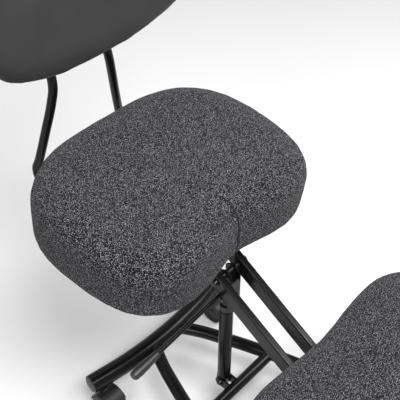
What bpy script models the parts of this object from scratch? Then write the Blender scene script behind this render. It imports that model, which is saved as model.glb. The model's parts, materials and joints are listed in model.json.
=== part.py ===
"""Kneeling chair with a small backrest, modelled as separate pieces.

Metres, +Z up, the sitter faces -Y and +X is the sitter's left.  The chair rests on z = 0.
A wishbone base on four castors carries two seat rails that hinge at the front crossbar.  A locking
gas spring under the seat lifts the rails, and with them the seat, the knee rest and the backrest.
"""
import bpy
import bmesh
from math import atan2, cos, pi, radians, sin, tan
from mathutils import Matrix, Vector

# ---------------------------------------------------------------- driving dimensions
CENTRE_Y = 0.1959            # moves the seat-based layout so that the chair is centred on the origin
GAP = 0.0003                 # clearance kept between pieces that touch
SEAT_HEIGHT = 0.530          # top of the seat above the floor, at its middle
SEAT_TILT = radians(6.85)    # the seat leans forward
SEAT_THICK = 0.108
SEAT_EDGE = 0.030
BOARD_THICK = 0.012
BOARD_INSET = 0.925          # board outline as a share of the cushion outline
BAR_RADIUS = 0.018           # front and rear crossbars
BAR_HEIGHT = 0.075           # centre of the crossbars above the floor
REAR_BAR_Y = 0.057
REAR_BAR_HALF = 0.178
FRONT_BAR_Y = -0.606
FRONT_BAR_HALF = 0.225
BAR_SWEEP = 0.019            # how far the bar ends sweep away from the chair's middle
TUBE_WALL = 0.0015
BASE_TUBE_RADIUS = 0.0125
RAIL_WIDTH = 0.0127
RAIL_DEPTH = 0.0318
RAIL_X = 0.028               # rail centre line from the middle plane
RAIL_SLOPE = radians(32.0)
PIVOT = (-0.562, SEAT_HEIGHT - 0.4465)      # y, z of the hinge at the front crossbar
AXLE = (-0.104, SEAT_HEIGHT - 0.159)        # y, z of the bolt between the rails at the seat
GAS_LOW = (-0.100, BAR_HEIGHT)              # y, z of the gas spring's lower eye
GAS_TOP = (-0.101, SEAT_HEIGHT - 0.222)     # y, z of the gas spring's upper eye
GAS_RADIUS = 0.0125
GAS_ROD_RADIUS = 0.005
GAS_TUBE_Y = -0.129          # cross tube that carries the gas spring
GAS_TUBE_RADIUS = 0.011
EYE_HALF = 0.0075            # half thickness of the gas spring's eyes
LUG_THICK = 0.004
BOLT_RADIUS = 0.004
AXLE_RADIUS = 0.005
KNEE_Y = -0.381              # middle of the knee cushion
KNEE_TOP = SEAT_HEIGHT - 0.150
KNEE_TILT = radians(-12.0)   # the front of the knee rest is higher
KNEE_THICK = 0.058
KNEE_EDGE = 0.022
KNEE_BOARD_THICK = 0.010
KNEE_PIVOT = (-0.395, SEAT_HEIGHT - 0.246)
BACK_TUBE_RADIUS = 0.008
BACK_PIVOT = (0.2375, SEAT_HEIGHT + 0.215)
BACK_REAR_Y = 0.2135         # rear face of the backrest at its lower edge
BACK_SLOPE = 0.135           # how far it leans back for each unit of height
BACK_CURVE_RADIUS = 0.62
BACK_THICK = 0.034
SHELL_THICK = 0.005
CASTER_WHEEL_RADIUS = 0.025
WHEEL_SIDES = 20
CASTER_TRAIL = 0.020
CASTER_HALF_GAP = 0.0065     # half thickness of the castor's middle web
CASTER_WHEEL_WIDTH = 0.0155
REAR_CASTER_X = 0.158
FRONT_CASTER_X = 0.200

# ---------------------------------------------------------------- scene set-up
for old in list(bpy.data.objects):
    bpy.data.objects.remove(old, do_unlink=True)

parts = bpy.data.collections.new("kneeling_chair")
bpy.context.scene.collection.children.link(parts)
layout = bpy.data.objects.new("layout", None)
layout.location = (0.0, CENTRE_Y, 0.0)
parts.objects.link(layout)


def material(name, colour, roughness, metallic=0.0):
    mat = bpy.data.materials.new(name)
    mat.use_nodes = True
    shader = mat.node_tree.nodes["Principled BSDF"]
    shader.inputs["Base Color"].default_value = (*colour, 1.0)
    shader.inputs["Roughness"].default_value = roughness
    shader.inputs["Metallic"].default_value = metallic
    return mat


LOOKS = {
    "powder_coat": ((0.030, 0.030, 0.033), 0.42, 0.0),
    "fabric": ((0.055, 0.055, 0.060), 0.95, 0.0),
    "backrest_cover": ((0.022, 0.022, 0.024), 0.55, 0.0),
    "plastic": ((0.018, 0.018, 0.019), 0.45, 0.0),
    "zinc": ((0.55, 0.55, 0.56), 0.30, 1.0),
    "chrome": ((0.75, 0.75, 0.77), 0.12, 1.0),
    "plywood": ((0.50, 0.36, 0.20), 0.70, 0.0),
    "tread": ((0.030, 0.030, 0.032), 0.60, 0.0),
}


# ---------------------------------------------------------------- building blocks
def place(obj, name, look):
    """Name an object, give it its own material and hang it on the layout."""
    obj.name = name
    if obj.data:
        obj.data.name = name
        obj.data.materials.clear()
        obj.data.materials.append(material(name, *LOOKS[look]))
    for owner in list(obj.users_collection):
        owner.objects.unlink(obj)
    parts.objects.link(obj)
    obj.parent = layout
    return obj


def smooth(obj, angle=35):
    obj.data.shade_smooth()
    obj.data.set_sharp_from_angle(angle=radians(angle))
    return obj


def from_bmesh(bm, name, look):
    mesh = bpy.data.meshes.new(name)
    bm.to_mesh(mesh)
    bm.free()
    return place(bpy.data.objects.new(name, mesh), name, look)


def bake(obj, weld=0.00002):
    """Turn an object with its modifiers into a plain mesh object of the same name."""
    bpy.context.view_layer.update()
    evaluated = obj.evaluated_get(bpy.context.evaluated_depsgraph_get())
    mesh = bpy.data.meshes.new_from_object(evaluated)
    name = obj.name
    matrix = obj.matrix_basis.copy()
    bm = bmesh.new()
    bm.from_mesh(mesh)
    bmesh.ops.remove_doubles(bm, verts=bm.verts, dist=weld)
    bmesh.ops.recalc_face_normals(bm, faces=bm.faces)
    if bm.calc_volume(signed=True) < 0.0:
        bmesh.ops.reverse_faces(bm, faces=bm.faces)
    bm.to_mesh(mesh)
    bm.free()
    mesh.materials.clear()
    for slot in obj.material_slots:
        mesh.materials.append(slot.material)
    bpy.data.objects.remove(obj, do_unlink=True)
    result = bpy.data.objects.new(name, mesh)
    parts.objects.link(result)
    result.matrix_basis = matrix
    result.parent = layout
    mesh.name = name
    return smooth(result)


def boolean(target, other, operation):
    """Join or cut a piece with another one, which is used up."""
    cut = target.modifiers.new(operation.lower(), "BOOLEAN")
    cut.operation = operation
    cut.object = other
    target = bake(target)
    bpy.data.objects.remove(other, do_unlink=True)
    return target


def cut(target, *cutters):
    for cutter in cutters:
        target = boolean(target, cutter, "DIFFERENCE")
    return target


def join(target, *others):
    for other in others:
        target = boolean(target, other, "UNION")
    return target


def box(name, look, size, centre, turn=(0, 0, 0), bevel=0.0):
    bm = bmesh.new()
    bmesh.ops.create_cube(bm, size=1.0)
    bmesh.ops.scale(bm, verts=bm.verts, vec=size)
    obj = from_bmesh(bm, name, look)
    obj.location = centre
    obj.rotation_euler = turn
    if bevel:
        edge = obj.modifiers.new("rounding", "BEVEL")
        edge.width = bevel
        edge.segments = 2
    return obj


def aimed(direction):
    """The rotation that turns +Z along a direction."""
    return Vector(direction).to_track_quat("Z", "Y").to_matrix().to_4x4()


def rod(name, look, radius, start, end, sides=24):
    """A round bar between two points."""
    start, end = Vector(start), Vector(end)
    run = end - start
    bm = bmesh.new()
    bmesh.ops.create_cone(bm, cap_ends=True, segments=sides, radius1=radius, radius2=radius, depth=run.length)
    obj = from_bmesh(bm, name, look)
    obj.matrix_basis = Matrix.Translation((start + end) / 2) @ aimed(run)
    return smooth(obj)


def turned(name, look, profile, base, direction, sides=24):
    """A turned piece.  The profile is (radius, height) from the top down, starting and ending on the axis
    or, for a ring, as a closed loop."""
    mesh = bpy.data.meshes.new(name)
    ring = profile[0][0] > 0.0
    count = len(profile)
    edges = [(i, i + 1) for i in range(count - 1)]
    if ring:
        edges.append((count - 1, 0))
    mesh.from_pydata([(r, 0.0, h) for r, h in profile], edges, [])
    obj = place(bpy.data.objects.new(name, mesh), name, look)
    screw = obj.modifiers.new("turn", "SCREW")
    screw.steps = sides
    screw.render_steps = sides
    screw.use_merge_vertices = True
    screw.merge_threshold = 0.00005
    obj.matrix_basis = Matrix.Translation(base) @ aimed(direction)
    return bake(obj)


def curve_points(spline, points, cyclic):
    spline.bezier_points.add(len(points) - 1)
    for knot, point in zip(spline.bezier_points, points):
        knot.co = (*point, 0.0) if len(point) == 2 else point
        knot.handle_left_type = knot.handle_right_type = "AUTO"
    spline.use_cyclic_u = cyclic


def tube(name, look, points, radius, wall=0.0, steps=5, ring=6):
    """A bent tube through the points: solid, or hollow with open ends when it has a wall."""
    curve = bpy.data.curves.new(name, "CURVE")
    curve.dimensions = "3D"
    curve.bevel_depth = radius
    curve.bevel_resolution = ring
    curve.resolution_u = steps
    curve.use_fill_caps = wall == 0.0
    curve_points(curve.splines.new("BEZIER"), points, False)
    obj = bake(place(bpy.data.objects.new(name, curve), name, look))
    if wall:
        shell = obj.modifiers.new("wall", "SOLIDIFY")
        shell.thickness = wall
        shell.offset = -1.0
        obj = bake(obj)
    return obj


def plate(name, look, outline, thickness, holes=(), rounded=False, steps=5):
    """A flat piece in the local XY plane.  Holes are (x, y, radius)."""
    curve = bpy.data.curves.new(name, "CURVE")
    curve.dimensions = "2D"
    curve.fill_mode = "BOTH"
    curve.extrude = thickness / 2
    curve.resolution_u = steps
    if rounded:
        curve_points(curve.splines.new("BEZIER"), outline, True)
    else:
        edge = curve.splines.new("POLY")
        edge.points.add(len(outline) - 1)
        for knot, (x, y) in zip(edge.points, outline):
            knot.co = (x, y, 0.0, 1.0)
        edge.use_cyclic_u = True
    for x, y, radius in holes:
        rim = curve.splines.new("POLY")
        rim.points.add(15)
        for i, knot in enumerate(rim.points):
            knot.co = (x + radius * cos(i * pi / 8), y + radius * sin(i * pi / 8), 0.0, 1.0)
        rim.use_cyclic_u = True
    return place(bpy.data.objects.new(name, curve), name, look)


def side_plate(name, look, outline, thickness, x, holes=()):
    """A plate that stands in a YZ plane at x; its outline and holes are given in y and z."""
    obj = plate(name, look, outline, thickness, holes)
    obj.rotation_euler = (pi / 2, 0.0, pi / 2)
    obj.location = (x, 0.0, 0.0)
    return bake(obj)


def arc(cy, cz, radius, start, end, count):
    """Points of an arc, in degrees."""
    return [(cy + radius * cos(radians(start + (end - start) * i / (count - 1))),
             cz + radius * sin(radians(start + (end - start) * i / (count - 1)))) for i in range(count)]


def bolt(name, look, radius, y, z, half, head_radius, head_height, nut_radius=None):
    """A cross bolt along X with a domed head on one side and a domed nut on the other."""
    pieces = [rod("shank", look, radius, (-half, y, z), (half, y, z), 14)]
    nut_radius = nut_radius or head_radius
    for side, size in ((-1, head_radius), (1, nut_radius)):
        profile = [(0.0, head_height), (size * 0.6, head_height * 0.85), (size, head_height * 0.3),
                   (size, 0.0), (0.0, 0.0)]
        pieces.append(turned("head", look, profile, (side * (half - 0.0004), y, z), (side, 0, 0), 16))
    piece = join(*pieces)
    return place(piece, name, look)


def mirror_pair(maker):
    return [maker("left", 1), maker("right", -1)]


def seat_matrix(x, y, z):
    """A point of the tilted seat frame, in the layout's frame."""
    return (x, y * cos(SEAT_TILT) - z * sin(SEAT_TILT), SEAT_HEIGHT + y * sin(SEAT_TILT) + z * cos(SEAT_TILT))


def along_rail(distance, offset=0.0):
    """y, z of a point on the rail's centre line, measured from the front hinge, with an offset across it."""
    y = PIVOT[0] + distance * cos(RAIL_SLOPE) - offset * sin(RAIL_SLOPE)
    z = PIVOT[1] + distance * sin(RAIL_SLOPE) + offset * cos(RAIL_SLOPE)
    return y, z


# ---------------------------------------------------------------- base
def crossbar_points(half, middle_y, sweep):
    return [(half * s, middle_y + sweep * s * s, BAR_HEIGHT) for s in (-1.0, -0.5, 0.0, 0.5, 1.0)]


def crossbar(name, half, middle_y, sweep, stem_x):
    bar = tube(name, "powder_coat", crossbar_points(half, middle_y, sweep), BAR_RADIUS, TUBE_WALL, 2, 6)
    for x in (-stem_x, stem_x):
        y = middle_y + sweep * (x / half) ** 2
        bar = cut(bar, rod("stem_hole", "powder_coat", 0.0053, (x, y, 0.04), (x, y, BAR_HEIGHT), 14))
    for word, side in (("left", 1), ("right", -1)):
        slope = atan2(1.5 * sweep / half, 1.0) * side
        along = Vector((side * cos(slope), side * sin(slope), 0.0))
        end = Vector((side * half, middle_y + sweep, BAR_HEIGHT))
        inner = (BAR_RADIUS - TUBE_WALL) * cos(pi / 16) - 0.0006
        profile = [(0.0, 0.0035), (0.0135, 0.0028), (BAR_RADIUS, GAP), (inner, GAP), (inner, -0.014),
                   (0.0, -0.014)]
        turned(f"{name}_plug_{word}", "plastic", profile, end, along, 16)
    return bar


crossbar("rear_crossbar", REAR_BAR_HALF, REAR_BAR_Y, BAR_SWEEP, REAR_CASTER_X)
front_bar = crossbar("front_crossbar", FRONT_BAR_HALF, FRONT_BAR_Y, -BAR_SWEEP, FRONT_CASTER_X)

BASE_RAIL = [(0.027, 0.058), (0.050, 0.018), (0.072, -0.035), (0.104, -0.128), (0.132, -0.235),
             (0.152, -0.345), (0.163, -0.460), (0.167, -0.612)]


def base_rail_points(side):
    return [(side * x, y, BAR_HEIGHT) for x, y in BASE_RAIL]


def bar_cutter(half, middle_y, sweep):
    return tube("cutter", "powder_coat", crossbar_points(half, middle_y, sweep), BAR_RADIUS + GAP, 0.0, 2, 6)


def base_rail(word, side):
    rail = tube("base_rail_" + word, "powder_coat", base_rail_points(side), BASE_TUBE_RADIUS, TUBE_WALL, 2, 4)
    return cut(rail, bar_cutter(REAR_BAR_HALF, REAR_BAR_Y, BAR_SWEEP),
               bar_cutter(FRONT_BAR_HALF, FRONT_BAR_Y, -BAR_SWEEP))


mirror_pair(base_rail)

gas_tube_points = [(x, GAS_TUBE_Y, BAR_HEIGHT) for x in (-0.108, 0.0, 0.108)]
gas_tube = tube("gas_cross_tube", "powder_coat", gas_tube_points, GAS_TUBE_RADIUS, TUBE_WALL, 1, 4)
for side_sign in (-1, 1):
    gas_tube = cut(gas_tube, tube("cutter", "powder_coat", base_rail_points(side_sign),
                                  BASE_TUBE_RADIUS + GAP, 0.0, 2, 4))

LUG_X = EYE_HALF + GAP + LUG_THICK / 2


def clevis_lug(side):
    y, z = GAS_LOW
    outline = arc(y, z, 0.011, -80, 80, 9) + [(GAS_TUBE_Y - 0.002, BAR_HEIGHT + 0.0085),
                                              (GAS_TUBE_Y - 0.002, BAR_HEIGHT - 0.0085)]
    lug = side_plate("lug", "powder_coat", outline, LUG_THICK, side * LUG_X, [(y, z, BOLT_RADIUS + GAP)])
    return cut(lug, rod("cutter", "powder_coat", GAS_TUBE_RADIUS - 0.0008, (-0.03, GAS_TUBE_Y, BAR_HEIGHT),
                        (0.03, GAS_TUBE_Y, BAR_HEIGHT)))


join(gas_tube, clevis_lug(-1), clevis_lug(1))
bolt("gas_lower_bolt", "zinc", BOLT_RADIUS, *GAS_LOW, LUG_X + LUG_THICK / 2 + 0.001, 0.0070, 0.0045)

PIVOT_LUG_X = 0.0385


def pivot_lug(side):
    y, z = PIVOT
    outline = arc(y, z, 0.014, -70, 110, 12) + [(FRONT_BAR_Y + 0.004, BAR_HEIGHT + 0.0165),
                                                (FRONT_BAR_Y + 0.008, BAR_HEIGHT - 0.015)]
    lug = side_plate("lug", "powder_coat", outline, 0.005, side * PIVOT_LUG_X, [(y, z, AXLE_RADIUS + GAP)])
    bar_y = FRONT_BAR_Y - 0.0005
    return cut(lug, rod("cutter", "powder_coat", BAR_RADIUS - 0.0009, (-0.06, bar_y, BAR_HEIGHT),
                        (0.06, bar_y, BAR_HEIGHT), 32))


join(front_bar, pivot_lug(-1), pivot_lug(1))
bolt("pivot_bolt", "zinc", AXLE_RADIUS, *PIVOT, PIVOT_LUG_X + 0.004, 0.0085, 0.0055)


# ---------------------------------------------------------------- castors
HUB_HEIGHT = CASTER_WHEEL_RADIUS * cos(pi / WHEEL_SIDES)    # each wheel rests on one of its flats


def caster_outline(cy):
    """Side view of the castor's middle web, around the wheel centre."""
    top = BAR_HEIGHT - BAR_RADIUS - 0.002
    return (arc(cy, HUB_HEIGHT, 0.022, 190, 300, 5)
            + arc(cy, HUB_HEIGHT, 0.0278, -20, 60, 5)
            + [(cy + CASTER_TRAIL + 0.0125, top - 0.006), (cy + CASTER_TRAIL + 0.0125, top),
               (cy + CASTER_TRAIL - 0.0125, top)])


def caster(tag, x, y):
    """A twin-wheel castor; its wheels trail towards the front of the chair."""
    wheel_y = y - CASTER_TRAIL
    hub_z = HUB_HEIGHT
    top = BAR_HEIGHT - BAR_RADIUS - 0.002
    web = side_plate("web", "plastic", caster_outline(wheel_y), 2 * CASTER_HALF_GAP, x)
    boss = rod("boss", "plastic", CASTER_HALF_GAP - 0.0002, (x, y, 0.030), (x, y, top + 0.0010), 16)
    reach = CASTER_HALF_GAP + CASTER_WHEEL_WIDTH
    fender_outline = (arc(wheel_y, hub_z, 0.0290, 5, 150, 8) + arc(wheel_y, hub_z, 0.0268, 150, 5, 8))
    fender = side_plate("fender", "plastic", fender_outline, 2 * reach - 0.002, x)
    axle = rod("axle", "plastic", 0.0035, (x - reach + 0.001, wheel_y, hub_z),
               (x + reach - 0.001, wheel_y, hub_z), 12)
    stem = rod("stem", "plastic", 0.0050, (x, y, 0.040), (x, y, BAR_HEIGHT - 0.002), 14)
    place(join(web, boss, fender, axle, stem), "caster_fork_" + tag, "plastic")
    for word, side in (("left", 1), ("right", -1)):
        near = CASTER_HALF_GAP + GAP + 0.0004
        far = near + CASTER_WHEEL_WIDTH - 0.001
        radius = CASTER_WHEEL_RADIUS
        bore = 0.0035 + GAP
        profile = [(bore, far - 0.002), (0.007, far - 0.002), (0.008, far - 0.004), (0.018, far - 0.004),
                   (0.020, far), (0.0228, far), (radius, far - 0.003), (radius, near), (bore, near)]
        wheel = turned(f"caster_wheel_{tag}_{word}", "tread", profile, (x, wheel_y, hub_z), (side, 0, 0),
                       WHEEL_SIDES)
        wheel.matrix_basis = wheel.matrix_basis @ Matrix.Rotation(pi / WHEEL_SIDES, 4, "Z")


CASTER_STEMS = {}
for end_tag, caster_x, half, bar_y, sweep in (
        ("rear", REAR_CASTER_X, REAR_BAR_HALF, REAR_BAR_Y, BAR_SWEEP),
        ("front", FRONT_CASTER_X, FRONT_BAR_HALF, FRONT_BAR_Y, -BAR_SWEEP)):
    for word, side_sign in (("left", 1), ("right", -1)):
        caster_y = bar_y + sweep * (caster_x / half) ** 2
        CASTER_STEMS[f"{end_tag}_{word}"] = (side_sign * caster_x, caster_y)
        caster(f"{end_tag}_{word}", side_sign * caster_x, caster_y)

# ---------------------------------------------------------------- seat rails
SEAT_LOW = -SEAT_THICK                      # underside of the seat in the seat's own frame
PLATE_LOW = SEAT_LOW - GAP - 0.004          # underside of the steel plate below it


def seat_under(y, depth):
    """Height of a plane parallel to the seat, at a depth below its top, for a y of the layout."""
    return SEAT_HEIGHT + y * tan(SEAT_TILT) + depth / cos(SEAT_TILT)


def seat_block(depth):
    """A large block above a plane parallel to the seat, which trims what meets the seat from below."""
    height = 0.20
    return box("cutter", "powder_coat", (0.5, 0.9, height), seat_matrix(0.0, 0.0, depth + height / 2),
               (SEAT_TILT, 0.0, 0.0))


RAIL_LENGTH = 0.640
RAIL_END = -0.014            # where the rails end, measured from the hinge


def rail_box(word, side, shrink):
    y, z = along_rail(RAIL_LENGTH / 2 + RAIL_END)
    size = (RAIL_WIDTH - 2 * shrink, RAIL_LENGTH + 4 * shrink, RAIL_DEPTH - 2 * shrink)
    bar = box("seat_rail_" + word, "powder_coat", size, (side * RAIL_X, y, z), (RAIL_SLOPE, 0.0, 0.0))
    edge = bar.modifiers.new("corners", "BEVEL")
    edge.width = 0.0022 if shrink == 0.0 else 0.001
    edge.segments = 2 if shrink == 0.0 else 1
    return bake(bar)


def seat_rail(word, side):
    rail = rail_box(word, side, 0.0)
    ends = ((side * (RAIL_X - 0.02)), (side * (RAIL_X + 0.02)))
    rail = cut(rail, rail_box("inner", side, TUBE_WALL), seat_block(PLATE_LOW - GAP))
    for (y, z), radius in ((PIVOT, AXLE_RADIUS), (AXLE, AXLE_RADIUS), (REAR_BOLT, BOLT_RADIUS),
                           (KNEE_BOLT, BOLT_RADIUS)):
        rail = cut(rail, rod("cutter", "powder_coat", radius + GAP, (ends[0], y, z), (ends[1], y, z), 14))
    return place(rail, "seat_rail_" + word, "powder_coat")


REAR_BOLT = (-0.040, SEAT_HEIGHT - 0.130)
KNEE_BOLT = along_rail((KNEE_PIVOT[0] - PIVOT[0]) / cos(RAIL_SLOPE))
mirror_pair(seat_rail)


def rail_cap(word, side):
    slack = 2 * TUBE_WALL + 6 * GAP
    turn = (RAIL_SLOPE, 0.0, 0.0)
    stub = box("stub", "plastic", (RAIL_WIDTH - slack, 0.009, RAIL_DEPTH - slack),
               (side * RAIL_X, *along_rail(RAIL_END + 0.003)), turn)
    lid = box("lid", "plastic", (RAIL_WIDTH, 0.003, RAIL_DEPTH),
              (side * RAIL_X, *along_rail(RAIL_END - 0.0015 - GAP)), turn, 0.001)
    place(join(bake(stub), bake(lid)), "seat_rail_cap_" + word, "plastic")


mirror_pair(rail_cap)

INNER = RAIL_X - RAIL_WIDTH / 2 - GAP       # half the free space between the rails


def sleeve(look, y, z, x0, x1, radius, bore):
    half = (x1 - x0) / 2
    profile = [(radius, half), (radius, -half), (bore, -half), (bore, half)]
    return turned("sleeve", look, profile, ((x0 + x1) / 2, y, z), (1, 0, 0), 24)


place(sleeve("powder_coat", *PIVOT, -INNER, INNER, 0.010, AXLE_RADIUS + GAP), "pivot_sleeve", "powder_coat")
RAIL_OUT = RAIL_X + RAIL_WIDTH / 2
bolt("axle_bolt", "zinc", AXLE_RADIUS, *AXLE, RAIL_OUT + 0.0012, 0.0078, 0.0060)


# ---------------------------------------------------------------- gas spring hanger, below the axle
def hanger():
    """A folded channel: two side plates with the axle and the eye bolt through them, and a front web."""
    front, back = -0.1195, -0.0895
    top, bottom = AXLE[1] + 0.0078, GAS_TOP[1] - 0.011
    outline = ([(front, AXLE[1] - 0.004), (front, bottom + 0.016)] + arc(*GAS_TOP, 0.0118, 215, 330, 7)
               + [(back, bottom + 0.02), (back, AXLE[1] + 0.001), (AXLE[0] + 0.004, top),
                  (AXLE[0] - 0.006, top)])
    holes = [(*AXLE, AXLE_RADIUS + GAP), (*GAS_TOP, BOLT_RADIUS + GAP)]
    sides = [side_plate("gas_hanger", "powder_coat", outline, LUG_THICK, s * LUG_X, holes) for s in (-1, 1)]
    web = box("web", "powder_coat", (2 * LUG_X + 0.002, 0.003, 0.034), (0.0, front + 0.0016, AXLE[1] - 0.030))
    return join(sides[0], web, sides[1])


LEVER_PIVOT = (-0.0230, -0.107, SEAT_HEIGHT - 0.1925)
gas_hanger = hanger()
gas_hanger = join(gas_hanger, rod("sleeve", "powder_coat", 0.006, (-INNER, *AXLE), (INNER, *AXLE), 24))
gas_hanger = cut(gas_hanger,
                 rod("cutter", "powder_coat", AXLE_RADIUS + GAP, (-0.03, *AXLE), (0.03, *AXLE), 20),
                 box("cutter", "powder_coat", (0.020, 0.0110, 0.0120), (-LUG_X, *LEVER_PIVOT[1:])))
for offset in (-0.0075, 0.0075):
    gas_hanger = join(gas_hanger, box("ear", "powder_coat", (0.0125, 0.0030, 0.0120),
                                      (-0.0165, LEVER_PIVOT[1] + offset, LEVER_PIVOT[2] - 0.0010)))
place(gas_hanger, "gas_hanger", "powder_coat")
bolt("gas_upper_bolt", "zinc", BOLT_RADIUS, *GAS_TOP, LUG_X + LUG_THICK / 2 + 0.001, 0.0062, 0.0040)


# ---------------------------------------------------------------- gas spring
gas_run = Vector((0.0, GAS_TOP[0] - GAS_LOW[0], GAS_TOP[1] - GAS_LOW[1]))
GAS_LENGTH = gas_run.length
gas_dir = gas_run.normalized()
gas_base = Vector((0.0, *GAS_LOW))
CYLINDER_TOP = GAS_LENGTH - 0.034
CYLINDER_BORE = 0.0108
SEAT_EYE_HOLE = BOLT_RADIUS + 0.0016        # the spring's upper eye runs with play on its bolt


def gas_point(distance):
    return gas_base + gas_dir * distance


def eye(name, look, centre, hole, reach):
    """An eye of the gas spring: a rounded block 15 mm thick that reaches along the spring."""
    y, z = centre.y, centre.z
    away = 1 if reach > 0 else -1
    outline = arc(y, z, 0.0110, 180 if away > 0 else 0, 360 if away > 0 else 180, 13)
    outline += [(y + 0.0110 * away, z + reach), (y - 0.0110 * away, z + reach)]
    return side_plate(name, look, outline, 2 * EYE_HALF, 0.0, [(y, z, hole)])


barrel = rod("gas_cylinder", "powder_coat", GAS_RADIUS, gas_point(0.0165), gas_point(CYLINDER_TOP), 28)
hollow = rod("cutter", "powder_coat", CYLINDER_BORE, gas_point(0.022), gas_point(CYLINDER_TOP + 0.02), 28)
low_eye = eye("eye", "powder_coat", gas_base, BOLT_RADIUS + GAP, 0.018)
place(join(cut(barrel, hollow), low_eye), "gas_cylinder", "powder_coat")

gland_ring = [(CYLINDER_BORE - GAP, 0.0), (CYLINDER_BORE - GAP, -0.012), (GAS_ROD_RADIUS + GAP, -0.012),
              (GAS_ROD_RADIUS + GAP, 0.0)]
turned("gas_gland", "plastic", gland_ring, gas_point(CYLINDER_TOP), gas_dir, 24)

HEAD_LOW = CYLINDER_TOP + 0.0025
PISTON_LOW = 0.030
PISTON_HIGH = PISTON_LOW + 0.012
PISTON_RADIUS = CYLINDER_BORE - 0.0004
ROD_TOP = GAS_LENGTH - 0.018
rod_profile = [(0.0, ROD_TOP), (GAS_ROD_RADIUS, ROD_TOP), (GAS_ROD_RADIUS, PISTON_HIGH),
               (PISTON_RADIUS, PISTON_HIGH), (PISTON_RADIUS, PISTON_LOW), (0.0, PISTON_LOW)]
turned("gas_rod", "chrome", rod_profile, gas_base, gas_dir, 24)

head = rod("gas_head", "plastic", GAS_RADIUS, gas_point(HEAD_LOW), gas_point(GAS_LENGTH - 0.008), 28)
for sign in (-1, 1):
    head = cut(head, box("cutter", "plastic", (0.010, 0.040, 0.040),
                         (sign * (EYE_HALF - 0.0004 + 0.005), GAS_TOP[0], GAS_TOP[1] + 0.0015)))
head = join(head, eye("eye", "plastic", gas_point(GAS_LENGTH), SEAT_EYE_HOLE, -0.024))
head = cut(head, rod("cutter", "plastic", SEAT_EYE_HOLE + 0.00005, (-0.03, *GAS_TOP), (0.03, *GAS_TOP), 16),
           rod("cutter", "plastic", GAS_ROD_RADIUS + GAP, gas_point(HEAD_LOW - 0.01),
               gas_point(ROD_TOP + 0.0004), 20))
place(head, "gas_head", "plastic")


# ---------------------------------------------------------------- release lever
LEVER_END = (-0.186, -0.107, SEAT_HEIGHT - 0.2095)
LEVER_RADIUS = 0.0039
LEVER_DROPS = [(-0.0095, -0.0008), (-0.0170, 0.0), (-0.060, 0.0036), (-0.120, 0.0104)]     # x, drop below the pivot
lever_points = [(x, LEVER_PIVOT[1], LEVER_PIVOT[2] - drop) for x, drop in LEVER_DROPS] + [LEVER_END]
tube("release_lever", "powder_coat", lever_points, LEVER_RADIUS, 0.0, 3, 4)
grip_run = (Vector(LEVER_END) - Vector(lever_points[-2])).normalized()
GRIP_BORE = LEVER_RADIUS + GAP
grip_profile = [(0.0, 0.056), (0.0050, 0.0555), (0.0078, 0.052), (0.0088, 0.040), (0.0072, 0.018),
                (0.0062, 0.0), (GRIP_BORE, 0.0), (GRIP_BORE, 0.0125), (0.0, 0.0125)]
turned("release_grip", "plastic", grip_profile, Vector(LEVER_END) - grip_run * 0.012, grip_run, 20)


# ---------------------------------------------------------------- seat
SEAT_OUTLINE = [(0.000, -0.125), (0.035, -0.130), (0.082, -0.141), (0.141, -0.141), (0.192, -0.111),
                (0.216, -0.058), (0.223, 0.000), (0.223, 0.060), (0.206, 0.119), (0.164, 0.164),
                (0.108, 0.187), (0.052, 0.193), (0.000, 0.193)]


def both_sides(half_outline):
    """Complete a half outline that starts and ends on the middle plane."""
    return half_outline + [(-x, y) for x, y in reversed(half_outline[1:-1])]


def scaled(outline, factor, middle):
    return [(x * factor, middle + (y - middle) * factor) for x, y in outline]


def cushion(name, look, outline, thickness, edge, steps=2):
    pad = bake(plate(name, look, outline, thickness, rounded=True, steps=steps))
    bm = bmesh.new()
    bm.from_mesh(pad.data)
    bmesh.ops.dissolve_limit(bm, angle_limit=radians(0.5), verts=bm.verts, edges=bm.edges)
    bm.to_mesh(pad.data)
    bm.free()
    bevel = pad.modifiers.new("edge", "BEVEL")
    bevel.width = edge
    bevel.segments = 2
    bevel.limit_method = "ANGLE"
    bevel.angle_limit = radians(60)
    bevel.use_clamp_overlap = False
    return bake(pad)


seat_full = both_sides(SEAT_OUTLINE)
seat_board_outline = scaled(seat_full, BOARD_INSET, 0.026)
seat = cushion("seat_cushion", "fabric", seat_full, SEAT_THICK, SEAT_EDGE)
pocket = plate("cutter", "fabric", scaled(seat_full, BOARD_INSET + 0.004, 0.026), 2 * (BOARD_THICK + GAP),
               rounded=True, steps=2)
pocket.location = (0.0, 0.0, -SEAT_THICK / 2)
seat = cut(seat, bake(pocket))
seat.location = seat_matrix(0.0, 0.0, -SEAT_THICK / 2)
seat.rotation_euler = (SEAT_TILT, 0.0, 0.0)

board = bake(plate("seat_board", "plywood", seat_board_outline, BOARD_THICK, rounded=True, steps=2))
board.location = seat_matrix(0.0, 0.0, SEAT_LOW + BOARD_THICK / 2)
board.rotation_euler = (SEAT_TILT, 0.0, 0.0)


# ---------------------------------------------------------------- seat bracket, under the board
def seat_bracket():
    """A steel plate below the board with two flanges between the rails."""
    top = seat_matrix(0.0, 0.018, SEAT_LOW - GAP - 0.002)
    base = box("seat_bracket", "powder_coat", (0.150, 0.150, 0.004), top, (SEAT_TILT, 0.0, 0.0))
    flanges = []
    for s in (-1, 1):
        high = [(y, seat_under(y, PLATE_LOW) + 0.0015) for y in (0.060, -0.054)]
        low = [(-0.054, -0.139), (-0.040, -0.143), (-0.020, -0.143), (0.060, -0.122)]
        outline = [(y, SEAT_HEIGHT + z) for y, z in low] + high
        flanges.append(side_plate("flange", "powder_coat", outline, 0.0035, s * (INNER - 0.00175),
                                  [(*REAR_BOLT, BOLT_RADIUS + GAP)]))
    return join(base, *flanges)


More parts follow.
